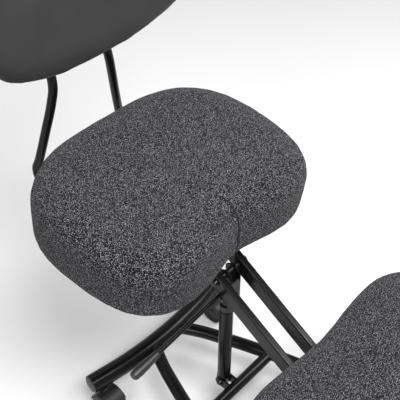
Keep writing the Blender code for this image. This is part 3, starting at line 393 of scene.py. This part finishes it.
def pad(node, name, look, free, drawn_in, cap, toward, layers=()):
    """A stuffed copy of a CAD cushion.  free(points) is 0 where the cover is held and 1 where it may swell.

    The solid is remeshed evenly and drawn in, most where it faces toward, and cloth under pressure shows how far each
    point would swell.  The foam holds the cover out, so no point falls in, and the swelling levels off at the cap."""
    mesh = welded_copy(node)
    bm = bmesh.new()
    for layer in (mesh, *layers):
        bm.from_mesh(layer)
    bm.to_mesh(mesh)
    bm.free()
    obj = new_object(name, mesh, look=look)
    remesh = obj.modifiers.new("even", "REMESH")
    remesh.mode = "VOXEL"
    remesh.voxel_size = VOXEL
    apply_modifiers(obj)
    mesh = obj.data
    normals = normals_of(mesh)
    loose = free(points_of(mesh))
    facing = np.maximum(normals @ np.array(toward), 0.0)
    start = points_of(mesh) - normals * (drawn_in * (0.25 + 0.75 * facing) * loose)[:, None]
    set_points(mesh, start)
    held = obj.vertex_groups.new(name="held")
    for level in range(HELD_LEVELS + 1):
        chosen = np.nonzero(np.round((1.0 - loose) * HELD_LEVELS) == level)[0]
        held.add(chosen.tolist(), level / HELD_LEVELS, "REPLACE")
    cloth = obj.modifiers.new("stuffing", "CLOTH").settings
    cloth.vertex_group_mass = "held"
    cloth.quality = 4
    cloth.use_pressure = True
    cloth.uniform_pressure_force = PRESSURE
    cloth.tension_stiffness = cloth.compression_stiffness = 15.0
    cloth.bending_stiffness = 2.0
    cloth.effector_weights.gravity = 0.0
    for step in range(1, CLOTH_FRAMES + 1):
        scene.frame_set(step)
    blown = evaluated_mesh(obj)
    outward = ((points_of(blown) - start) * normals).sum(axis=1)
    bpy.data.meshes.remove(blown)
    obj.modifiers.clear()
    obj.vertex_groups.clear()
    scene.frame_set(1)
    swell = cap * (1.0 - np.exp(-np.maximum(outward, 0.0) / cap))
    set_points(mesh, start + normals * ((swell + FOAM_PUSH) * loose)[:, None])
    even = obj.modifiers.new("even", "SMOOTH")
    even.factor = 0.5
    even.iterations = 10
    finer = obj.modifiers.new("finer", "SUBSURF")
    finer.levels = finer.render_levels = 1
    apply_modifiers(obj)
    obj.data.shade_smooth()
    return obj


def lay_flat(obj, place, underside):
    """Press a pad's lower face flat just below its board."""
    points = points_of(obj.data)
    h = place.local(points)[2]
    level = underside - COVER_DROP
    points += np.outer(np.where(h < level + COVER_SPARE / 2, level - h, 0.0), place.up)
    set_points(obj.data, points)


def soften(obj, size, depth, free):
    """Slow unevenness of a hand-upholstered cover."""
    mesh = obj.data
    points, normals = points_of(mesh), normals_of(mesh)
    rough = np.array([noise.noise(Vector(p) / size) + 0.4 * noise.noise(Vector(p) * 2.7 / size) for p in points])
    set_points(mesh, points + normals * (rough * depth * free(points))[:, None])


def groove(obj, across, inside, width, depth, shoulder):
    """A sewn line: across(points) is the distance from it and inside(points) runs from 0 off the line to 1 on it.

    Edges are cut beside the line first, so that the mesh can take its shape.  It gives back the points along the
    line on the cover as it was before, where a near-black strip of painted groove shade is laid, along a seam also
    standing for its thread."""
    bm = bmesh.new()
    bm.from_mesh(obj.data)
    reach = 4 * width + 0.004
    for offset in CUTS:
        coords = np.array([v.co for v in bm.verts])
        gap = across(coords)
        bm.verts.ensure_lookup_table()
        chosen = {bm.verts[i] for i in np.nonzero((np.abs(gap) < reach) & (inside(coords) > 0.0))[0]}
        faces = [f for f in bm.faces if all(v in chosen for v in f.verts)]
        edges = {e for f in faces for e in f.edges}
        splits = []
        level = offset * width
        gaps = dict(zip(bm.verts, gap))
        for edge in edges:
            a, b = gaps[edge.verts[0]] - level, gaps[edge.verts[1]] - level
            if a * b < 0.0 and min(abs(a), abs(b)) > NEAR_LINE:
                splits.append((edge, edge.verts[0], a / (a - b)))
        fresh = [bmesh.utils.edge_split(edge, vert, share)[1] for edge, vert, share in splits]
        bmesh.ops.connect_verts(bm, verts=fresh)
    bmesh.ops.triangulate(bm, faces=[f for f in bm.faces if len(f.verts) > 4])
    bm.to_mesh(obj.data)
    bm.free()
    mesh = obj.data
    points, normals = points_of(mesh), normals_of(mesh)
    gap = across(points) / width
    shape = -depth * np.exp(-gap * gap) + shoulder * np.exp(-(np.abs(gap) - 3.0) ** 2 / 2.0)
    share = inside(points)
    set_points(mesh, points + normals * (shape * share)[:, None])
    mesh.shade_smooth()
    return points[(np.abs(gap) * width < 1.2 * NEAR_LINE) & (share > 0.2)]


def thread_and_shade_strip(name, line, radius):
    """A near-black strip on the seat's cover through the points of a line in their order: painted shade along a
    groove, and along the notch seam also its thread.
    """
    curve = swept(name, radius, 2)
    curve.splines.new("POLY").points.add(len(line) - 1)
    for knot, point in zip(curve.splines[0].points, line):
        knot.co = (*point, 1.0)
    new_object(name, mesh_of(curve), body_of("seat_cushion"), SEAM_THREAD_AND_SHADE)


seat_top, knee_top = PadFrame("seat_top"), PadFrame("knee_top")


def held_below(place, low, high):
    """The cover is held below low, along the board, and free above high."""
    return lambda points: ease(place.local(points)[2], low, high)


seat_free = held_below(seat_top, -0.108, -0.094)
seat = pad("seat_cushion", "seat_pad", FABRIC, seat_free, drawn_in=0.004, cap=0.005, toward=seat_top.up,
           layers=turned_in("seat_cushion", "seat_board", seat_top, SEAT_UNDERSIDE))
soften(seat, size=0.075, depth=0.0009, free=seat_free)


def notch_seam(points):
    """The seam down the notch between the lobes."""
    x, back, h = seat_top.local(points)
    return ease(-back, 0.100, 0.108) * ease(-h, -0.004, 0.002) * ease(h, -0.104, -0.096) * (np.abs(x) < 0.02)


def lobe_crease(points):
    """The fold along the front edge of each lobe, strongest beside the seam."""
    x, back, h = seat_top.local(points)
    far = np.abs(x)
    return ease(far, 0.001, 0.008) * (1.0 - ease(far, 0.040, 0.118)) * ease(h, -0.034, -0.026) * (back < -0.09)


seam_line = groove(seat, lambda points: seat_top.local(points)[0], notch_seam,
                   width=0.0013, depth=0.0032, shoulder=0.0008)
fold_line = groove(seat, lambda points: seat_top.local(points)[1] + FOLD_AHEAD, lobe_crease,
                   width=0.0030, depth=0.0042, shoulder=0.0009)
lay_flat(seat, seat_top, SEAT_UNDERSIDE)

knee_free = held_below(knee_top, -0.058, -0.046)
knee = pad("knee_cushion", "knee_pad", FABRIC, knee_free, drawn_in=0.003, cap=0.005, toward=knee_top.up,
           layers=turned_in("knee_cushion", "knee_board", knee_top, KNEE_UNDERSIDE))
soften(knee, size=0.070, depth=0.0008, free=knee_free)
lay_flat(knee, knee_top, KNEE_UNDERSIDE)

BACK_CURVE_RADIUS, BACK_SLOPE = 0.62, 0.135      # the backrest curves round the sitter and leans back
back_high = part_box("backrest_cushion")[1]


def back_depth(points):
    """How far a point stands in front of the backrest cushion's rear face."""
    x, z = points[:, 0], points[:, 2]
    return back_high.y + (z - back_high.z) * BACK_SLOPE - x * x / (2 * BACK_CURVE_RADIUS) - points[:, 1]


def back_free(points):
    return ease(back_depth(points), 0.004, 0.014)


back = pad("backrest_cushion", "backrest_pad", COVER, back_free, drawn_in=0.002, cap=0.004,
           toward=(0.0, -0.4, 0.9))

# the notch seam's near-black strip: its thread, and painted shade along its groove
seam_back, seam_height = seat_top.local(seam_line)[1:]
thread_and_shade_strip("seat_seam_thread_and_shade", seam_line[np.argsort(seam_back * 0.4 - seam_height)], radius=0.0010)
# painted shade: a near-black strip along each lobe's fold, where the crease's shade falls; no thread is sewn there
for word, side in (("left", 1.0), ("right", -1.0)):
    lobe = fold_line[fold_line[:, 0] * side > 0.0]
    thread_and_shade_strip("seat_fold_shade_" + word, lobe[np.argsort(lobe[:, 0] * side)], radius=0.00045)

for piece, node in ((seat, "seat_cushion"), (knee, "knee_cushion"), (back, "backrest_cushion")):
    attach(piece, body_of(node))
    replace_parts(piece, node)


# ---------------------------------------------------------------- linings under the cushions
STAPLE_PITCH, STAPLE_INSET = 0.026, 0.004
# the place and the size of a staple's crown and of its two legs
STAPLE_PARTS = (((0.0, 0.0, 0.0), (0.0100, 0.0009, 0.0004)),
                ((0.0046, 0.0, 0.0004), (0.0008, 0.0009, 0.0009)),
                ((-0.0046, 0.0, 0.0004), (0.0008, 0.0009, 0.0009)))


def board_edge(node, place, underside, clear):
    """The outline of a board's lower face, in order round its middle, without the holes within clear of it."""
    x, y, h = place.local(points_of(welded_copy(node)))
    spots = np.column_stack((x, y))[np.abs(h - underside) < 0.0004]
    middle = np.mean(spots, axis=0)
    spots = spots[np.hypot(*(spots - middle).T) > clear]
    return sorted(spots, key=lambda spot: np.arctan2(spot[1] - middle[1], spot[0] - middle[0])), middle


def lining(node, name, place, underside, grow, clear):
    """A thin black dust cover over the board and the turned-in edge of the cover, with its staples."""
    spots, middle = board_edge(node, place, underside, clear)
    body = body_of(node)
    bm = bmesh.new()
    ring = [middle + (spot - middle) * grow for spot in spots]
    low = [bm.verts.new(place.world(x, y, underside - 0.00026)) for x, y in ring]
    high = [bm.verts.new(place.world(x, y, underside - 0.00012)) for x, y in ring]
    bm.faces.new(low[::-1])
    bm.faces.new(high)
    for i in range(len(low)):
        bm.faces.new((low[i - 1], low[i], high[i], high[i - 1]))
    bmesh.ops.recalc_face_normals(bm, faces=bm.faces)
    cloth = bpy.data.meshes.new(name)
    bm.to_mesh(cloth)
    bm.free()
    new_object(name, cloth, body, LINING)
    bm = bmesh.new()
    leaning = Matrix(((1.0, 0.0, 0.0), (0.0, place.back[1], place.up[1]), (0.0, place.back[2], place.up[2]))).to_4x4()
    length = 0.0
    for a, b in zip(ring, ring[1:] + ring[:1]):
        run = b - a
        step = np.hypot(*run)
        turn = Matrix.Rotation(np.arctan2(run[1], run[0]), 4, "Z")
        while length < step:
            edge = a + run * (length / step)
            x, y = edge + (middle - edge) / np.hypot(*(middle - edge)) * STAPLE_INSET
            spot = Matrix.Translation(place.world(x, y, underside - 0.0005)) @ leaning @ turn
            for offset, size in STAPLE_PARTS:
                matrix = spot @ Matrix.Translation(offset) @ Matrix.Diagonal((*size, 1.0))
                bmesh.ops.create_cube(bm, size=1.0, matrix=matrix)
            length += STAPLE_PITCH
        length -= step
    wires = bpy.data.meshes.new(name + "_staples")
    bm.to_mesh(wires)
    bm.free()
    new_object(name + "_staples", wires, body, STAPLE)


lining("seat_board", "seat_lining", seat_top, SEAT_UNDERSIDE, grow=0.93, clear=0.10)
lining("knee_board", "knee_lining", knee_top, KNEE_UNDERSIDE, grow=0.90, clear=0.05)


# ---------------------------------------------------------------- tubes, rails and weld beads
BEAD_RADIUS, BEAD_STEP, SADDLE_POINTS = 0.0019, 0.0011, 28


def smooth_tube(name, points, radius, node):
    """A bent round tube with capped ends that stands for a CAD tube."""
    curve = swept(name, radius, 12)
    curve.resolution_u = 14
    spline = curve.splines.new("BEZIER")
    spline.bezier_points.add(len(points) - 1)
    for knot, point in zip(spline.bezier_points, points):
        knot.co = point
        knot.handle_left_type = knot.handle_right_type = "AUTO"
    mesh = mesh_of(curve)
    mesh.set_sharp_from_angle(angle=radians(50))
    new_object(name, mesh, body_of(node), FINISHES[SLOT_OF[node]], (node,))


def bead(name, paths, body):
    """Weld beads along closed paths, with the ripples of a hand-made weld."""
    curve = swept(name, BEAD_RADIUS, 3)
    for path in paths:
        dense = []
        for a, b in zip(path, path[1:] + path[:1]):
            count = max(1, int((b - a).length / BEAD_STEP))
            dense += [a.lerp(b, i / count) for i in range(count)]
        spline = curve.splines.new("POLY")
        spline.points.add(len(dense) - 1)
        for i, (knot, point) in enumerate(zip(spline.points, dense)):
            knot.co = (*point, 1.0)
            knot.radius = 1.0 + 0.16 * sin(i * 1.7) + 0.10 * sin(i * 0.63)
        spline.use_cyclic_u = True
    new_object(name, mesh_of(curve), body, COAT)


def saddle(start, run, radius, bar_point, bar_run, bar_radius):
    """The closed line where a tube that leaves start along run meets a straight bar."""
    run, bar_run = run.normalized(), bar_run.normalized()
    side = run.cross(Vector((0, 0, 1))).normalized()
    ring = []
    for i in range(SADDLE_POINTS):
        turn = 2 * pi * i / SADDLE_POINTS
        p = start + side * (radius * cos(turn)) + Vector((0, 0, radius * sin(turn))) - bar_point
        flat_p, flat_d = p - bar_run * p.dot(bar_run), run - bar_run * run.dot(bar_run)
        a, b, c = flat_d.length_squared, 2 * flat_p.dot(flat_d), flat_p.length_squared - bar_radius ** 2
        root = max(b * b - 4 * a * c, 0.0) ** 0.5
        ring.append(bar_point + p + run * ((-b - root) / (2 * a)))
    return ring


LAYOUT_Y = MOUNTS["seat_top"]["pos_m"][1]         # the seat's middle, from which the frame is laid out
SEAT_HEIGHT = MOUNTS["seat_top"]["pos_m"][2]
BAR_RADIUS, BAR_HEIGHT, BAR_SWEEP = 0.018, 0.075, 0.019
BASE_TUBE_RADIUS, BACK_TUBE_RADIUS = 0.0125, 0.008
BARS = {"rear_crossbar": (0.178, 0.057, BAR_SWEEP), "front_crossbar": (0.225, -0.606, -BAR_SWEEP)}
# the middle lines of the left base tube and the left backrest tube: (x, y) and (x, y, height above the seat's top)
BASE_RAIL = [(0.027, 0.058), (0.050, 0.018), (0.072, -0.035), (0.104, -0.128), (0.132, -0.235),
             (0.152, -0.345), (0.163, -0.460), (0.167, -0.612)]
BACK_TUBE = [(0.056, 0.052, -0.1235), (0.074, 0.120, -0.1170), (0.092, 0.196, -0.1090),
             (0.1010, 0.236, -0.0990), (0.1005, 0.2505, -0.0760), (0.0945, 0.2470, -0.0560),
             (0.0800, 0.2370, 0.0000), (0.0660, 0.2265, 0.0600), (0.0615, 0.2245, 0.0850),
             (0.0595, 0.2310, 0.1200), (0.0580, 0.2450, 0.1700), (0.0570, 0.2590, 0.2200),
             (0.0565, 0.2670, 0.2500)]


def laid_out(x, y, z):
    return Vector((x, y + LAYOUT_Y, z))


def bar_at(node, x):
    half, middle, sweep = BARS[node]
    return laid_out(x, middle + sweep * (x / half) ** 2, BAR_HEIGHT)


for node, (half, middle, sweep) in BARS.items():
    smooth_tube(node + "_tube", [bar_at(node, half * s) for s in (-1.0, -0.5, 0.0, 0.5, 1.0)], BAR_RADIUS, node)

RAIL_SLOPE = radians(32.0)
RAIL_CORNER = 0.0042                              # outer radius of the rails' long edges
CORNER_STEPS = 8


def seat_rail(word):
    """A rectangular tube with round corners between the ends of the CAD rail, the upper one cut under the seat."""
    node = "seat_rail_" + word
    run = np.array((0.0, cos(RAIL_SLOPE), sin(RAIL_SLOPE)))
    rise = np.array((0.0, -sin(RAIL_SLOPE), cos(RAIL_SLOPE)))
    points = points_of(welded_copy(node))
    x, along, up = points[:, 0], points @ run, points @ rise
    middle = ((x.min() + x.max()) / 2, (up.min() + up.max()) / 2)
    half = ((x.max() - x.min()) / 2 - RAIL_CORNER, (up.max() - up.min()) / 2 - RAIL_CORNER)
    ends = [along[up > middle[1]].max(), along[up < middle[1]].max()]
    section = []
    for corner in range(4):
        side = (1 if corner in (0, 3) else -1, 1 if corner < 2 else -1)
        for step in range(CORNER_STEPS + 1):
            turn = (corner + step / CORNER_STEPS) * pi / 2
            section.append((side[0] * half[0] + RAIL_CORNER * cos(turn), side[1] * half[1] + RAIL_CORNER * sin(turn)))
    bm = bmesh.new()
    rings = [[], []]
    for across, height in section:
        share = height / (up.max() - up.min()) + 0.5
        for ring, end in zip(rings, (along.min(), ends[1] + (ends[0] - ends[1]) * share)):
            spot = run * end + rise * (middle[1] + height)
            ring.append(bm.verts.new((middle[0] + across, spot[1], spot[2])))
    for i in range(len(section)):
        bm.faces.new((rings[0][i - 1], rings[0][i], rings[1][i], rings[1][i - 1]))
    bm.faces.new(rings[0][::-1])
    bm.faces.new(rings[1])
    bmesh.ops.recalc_face_normals(bm, faces=bm.faces)
    mesh = bpy.data.meshes.new(node + "_bar")
    bm.to_mesh(mesh)
    bm.free()
    mesh.shade_smooth()
    mesh.set_sharp_from_angle(angle=radians(50))
    new_object(node + "_bar", mesh, body_of(node), COAT, (node,))


seat_rail("left")
seat_rail("right")

base_beads = []
for word, side in (("left", 1), ("right", -1)):
    route = [laid_out(side * x, y, BAR_HEIGHT) for x, y in BASE_RAIL]
    smooth_tube(f"base_rail_{word}_tube", route, BASE_TUBE_RADIUS, "base_rail_" + word)
    for end, bar, seen in ((0, "rear_crossbar", 2), (-1, "front_crossbar", -2)):
        run = route[end] - route[seen]
        x = route[end].x if end else side * 0.030
        along = bar_at(bar, x + 0.01) - bar_at(bar, x - 0.01)
        line = saddle(route[seen], run, BASE_TUBE_RADIUS, bar_at(bar, x), along, BAR_RADIUS)
        base_beads.append(line)
    smooth_tube(f"backrest_tube_{word}_tube", [laid_out(side * x, y, SEAT_HEIGHT + z) for x, y, z in BACK_TUBE],
                BACK_TUBE_RADIUS, "backrest_tube_" + word)
bead("base_welds", base_beads, "base")


# ---------------------------------------------------------------- turned pieces, wheels and fasteners
def lathe(name, parts, place, toward, body, stands_for, steps):
    """A turned piece along toward from place; parts are (profile, look), each profile a list of (radius, height)."""
    bm = bmesh.new()
    looks = []
    for profile, look in parts:
        looks.append(look)
        rings = []
        for radius, height in profile:
            turns = [2 * pi * i / steps for i in range(steps)] if radius > 0.0 else [0.0]
            rings.append([bm.verts.new((radius * cos(turn), radius * sin(turn), height)) for turn in turns])
        for low, high in zip(rings, rings[1:]):
            for i in range(steps):
                corners = [ring[k % len(ring)] for ring, k in ((low, i), (low, i + 1), (high, i + 1), (high, i))]
                face = bm.faces.new(list(dict.fromkeys(corners)))
                face.material_index = len(looks) - 1
    bmesh.ops.recalc_face_normals(bm, faces=bm.faces)
    mesh = bpy.data.meshes.new(name)
    bm.to_mesh(mesh)
    bm.free()
    for look in looks:
        mesh.materials.append(look)
    mesh.shade_smooth()
    mesh.set_sharp_from_angle(angle=radians(40))
    mesh.transform(Matrix.Translation(place) @ Vector(toward).to_track_quat("Z", "Y").to_matrix().to_4x4())
    new_object(name, mesh, body, None, stands_for)


def middle_of(node):
    low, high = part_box(node)
    return (low + high) / 2, high - low


def wheel(node):
    """Half of a twin-wheel castor: a soft tread on a nylon rim with a dished hub."""
    middle, size = middle_of(node)
    fork = middle_of(node.rsplit("_", 1)[0].replace("caster_wheel", "caster_fork"))[0]
    outward = 1.0 if middle.x > fork.x else -1.0
    radius, half = middle.z, size.x / 2
    tread = [(radius * 0.905, -half), (radius * 0.975, -half), (radius * 0.995, -half + 0.0009),
             (radius, -half + 0.0022), (radius, half - 0.0032), (radius * 0.992, half - 0.0016),
             (radius * 0.965, half - 0.0004), (radius * 0.905, half - 0.0001)]
    rim = [(0.0040, -half), (radius * 0.905, -half), (radius * 0.905, half - 0.0001), (radius * 0.87, half - 0.0002),
           (radius * 0.83, half - 0.0012), (radius * 0.79, half - 0.0034), (radius * 0.40, half - 0.0044),
           (radius * 0.34, half - 0.0036), (radius * 0.30, half - 0.0020), (radius * 0.24, half - 0.0012),
           (radius * 0.10, half - 0.0009), (0.0, half - 0.0009)]
    lathe(node + "_half", [(tread, TREAD), (rim, NYLON)], middle, (outward, 0, 0), body_of(node), (node,),
          48)


def fastener(node, shank):
    """A cross bolt: a button head with a round socket on the sitter's left, a domed nut on a washer on the right."""
    middle, size = middle_of(node)
    body, radius, half = body_of(node), size.y / 2, size.x / 2
    head = radius * 0.62
    socket = shank * 0.62
    button = [(0.0, -half), (shank, -half), (shank, -head * 1.2), (radius, -head * 1.2), (radius, -head * 0.75),
              (radius * 0.90, -head * 0.38), (radius * 0.70, -head * 0.10), (socket + 0.0004, 0.0),
              (socket, -0.0003), (socket, -0.0022), (0.0, -0.0026)]
    lathe(node + "_head", [(button, BLACKED)], middle + Vector((half, 0, 0)), (1, 0, 0), body, (node,), 36)
    washer = [(shank, 0.0), (radius, 0.0), (radius, 0.0011), (radius * 0.97, 0.0014), (shank, 0.0014)]
    dome = [(radius * 0.80, 0.0014), (radius * 0.80, head * 0.62), (radius * 0.74, head * 0.80),
            (radius * 0.60, head * 1.02), (radius * 0.40, head * 1.16), (0.0, head * 1.22)]
    place = middle - Vector((half - head * 1.22, 0, 0))
    lathe(node + "_nut", [(washer, BLACKED), (dome, BLACKED)], place, (-1, 0, 0), body, (), 36)


for node in [name for name in NODES if name.startswith("caster_wheel")]:
    wheel(node)
for node, shank in (("axle_bolt", 0.005), ("pivot_bolt", 0.005), ("rail_bolt", 0.004), ("knee_stand_bolt", 0.004),
                    ("gas_lower_bolt", 0.004), ("gas_upper_bolt", 0.004), ("backrest_bolt", 0.003)):
    fastener(node, shank)


# ---------------------------------------------------------------- the other pieces, with rounded edges
EDGE_ROUND = 0.0004


def refined(node):
    """A CAD solid with joined faces, small rounded edges and smooth round faces."""
    mesh = welded_copy(node)
    bm = bmesh.new()
    bm.from_mesh(mesh)
    bmesh.ops.dissolve_limit(bm, angle_limit=radians(1.0), verts=bm.verts, edges=bm.edges)
    bm.to_mesh(mesh)
    bm.free()
    look = FINISHES[SLOT_OF[node]]
    obj = new_object(node + "_piece", mesh, body_of(node), look, (node,))
    rounding = obj.modifiers.new("rounding", "BEVEL")
    rounding.width = EDGE_ROUND
    rounding.segments = 2
    rounding.limit_method = "ANGLE"
    rounding.angle_limit = radians(42)
    apply_modifiers(obj)
    obj.data.materials.clear()
    obj.data.materials.append(look)
    obj.data.shade_smooth()
    obj.data.set_sharp_from_angle(angle=radians(50))
    flats = obj.modifiers.new("flats", "WEIGHTED_NORMAL")
    flats.keep_sharp = True
    flats.weight = 80
    apply_modifiers(obj)


stood_for = {node for obj in bpy.data.objects for node in obj.get("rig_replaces", [])}
for node in sorted(set(NODES) - stood_for):
    refined(node)


# ---------------------------------------------------------------- floor, light and camera
bpy.ops.mesh.primitive_plane_add(size=14.0)
floor = bpy.context.object
floor.name = "studio_floor"
floor.data.materials.append(floor_paint())


def area_light(name, place, aim, size, power):
    """A softbox of that size in metres and that power in watts."""
    lamp = bpy.data.lights.new(name, "AREA")
    lamp.shape = "RECTANGLE"
    lamp.size, lamp.size_y = size
    lamp.energy = power
    obj = bpy.data.objects.new(name, lamp)
    obj.location = place
    obj.rotation_euler = (Vector(aim) - Vector(place)).to_track_quat("-Z", "Y").to_euler()
    scene.collection.objects.link(obj)


area_light("key", (1.35, -0.95, 2.15), aim=(0.0, -0.05, 0.35), size=(1.0, 1.0), power=24.0)
area_light("front", (-0.30, -1.00, 2.45), aim=(0.0, 0.0, 0.35), size=(1.3, 1.1), power=80.0)
area_light("overhead", (-0.1, 0.9, 2.7), aim=(0.0, 0.0, 0.4), size=(2.0, 1.6), power=14.0)
area_light("side", (-2.15, -0.60, 1.65), aim=(0.0, 0.0, 0.35), size=(0.75, 0.75), power=15.0)

world = bpy.data.worlds.new("studio")
world.use_nodes = True
background = world.node_tree.nodes["Background"].inputs
background["Color"].default_value = (1.0, 1.0, 1.0, 1.0)
background["Strength"].default_value = 0.50
scene.world = world
scene.view_settings.view_transform = "Standard"

aim_line = Vector((sin(CAMERA_HEADING) * cos(CAMERA_DROP), cos(CAMERA_HEADING) * cos(CAMERA_DROP),
                   -sin(CAMERA_DROP)))
lens = bpy.data.cameras.new("camera")
lens.lens = CAMERA_LENS
lens.sensor_width = 36.0
camera = bpy.data.objects.new("camera", lens)
camera.location = CAMERA_AIM - aim_line * CAMERA_DISTANCE
camera.rotation_euler = aim_line.to_track_quat("-Z", "Y").to_euler()
scene.collection.objects.link(camera)
scene.camera = camera
